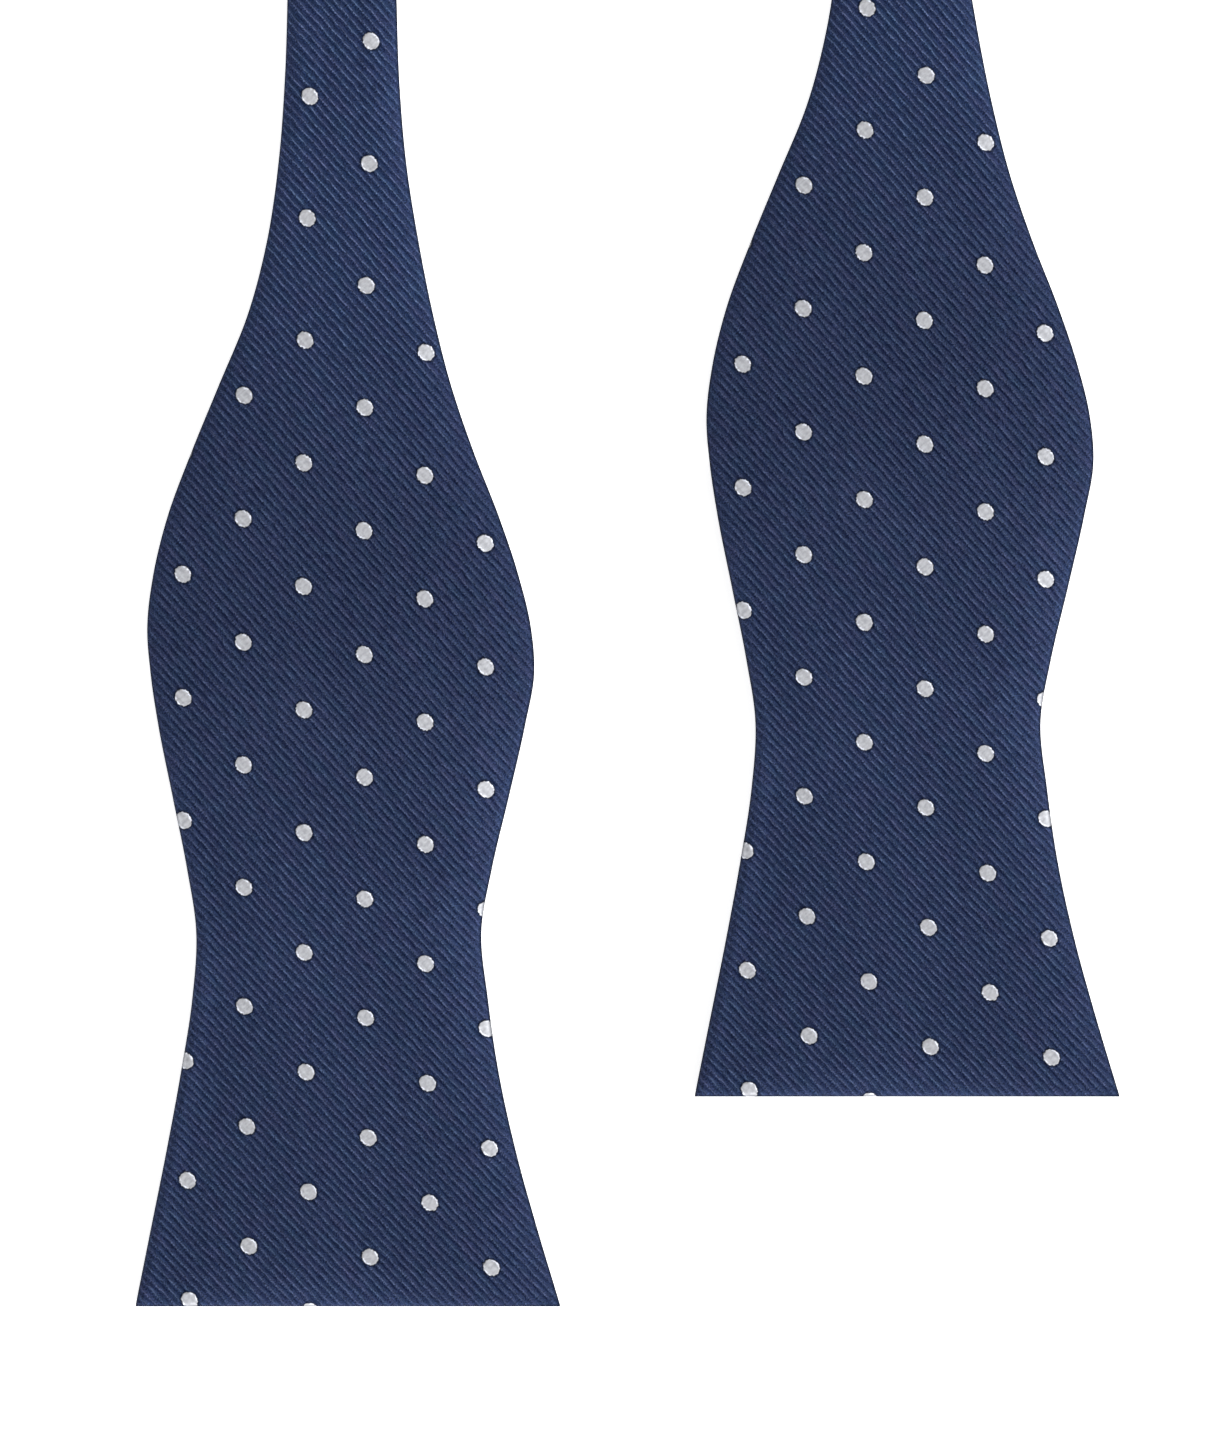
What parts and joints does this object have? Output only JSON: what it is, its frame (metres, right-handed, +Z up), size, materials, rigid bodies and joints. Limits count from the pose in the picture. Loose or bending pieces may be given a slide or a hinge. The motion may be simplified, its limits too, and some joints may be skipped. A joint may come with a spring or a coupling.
{
  "type": "self-tie bow tie",
  "caption": "Untied self-tie bow tie laid face up: flared, waisted blades of ribbed, pin-dotted silk joined by a narrow neckband that turns onto its edge and loops round an open neck hollow.",
  "frame": {"origin": "middle of the bottom of the whole tie's box, on the surface that it lies on", "axes": "+Y from the blades' straight ends to the centre back of the neckband, +Z up out of the cloth's face, +X to the right seen from above"},
  "size_m": [0.1508, 0.4484, 0.0162],
  "materials": {
    "navy_silk": "navy silk faille with fine slanted ribs and small silver-grey woven pin dots"
  },
  "bodies": {
    "root": {"left_blade": "navy_silk", "left_neckband": "navy_silk", "right_blade": "navy_silk", "right_neckband": "navy_silk"}
  },
  "joints": []
}
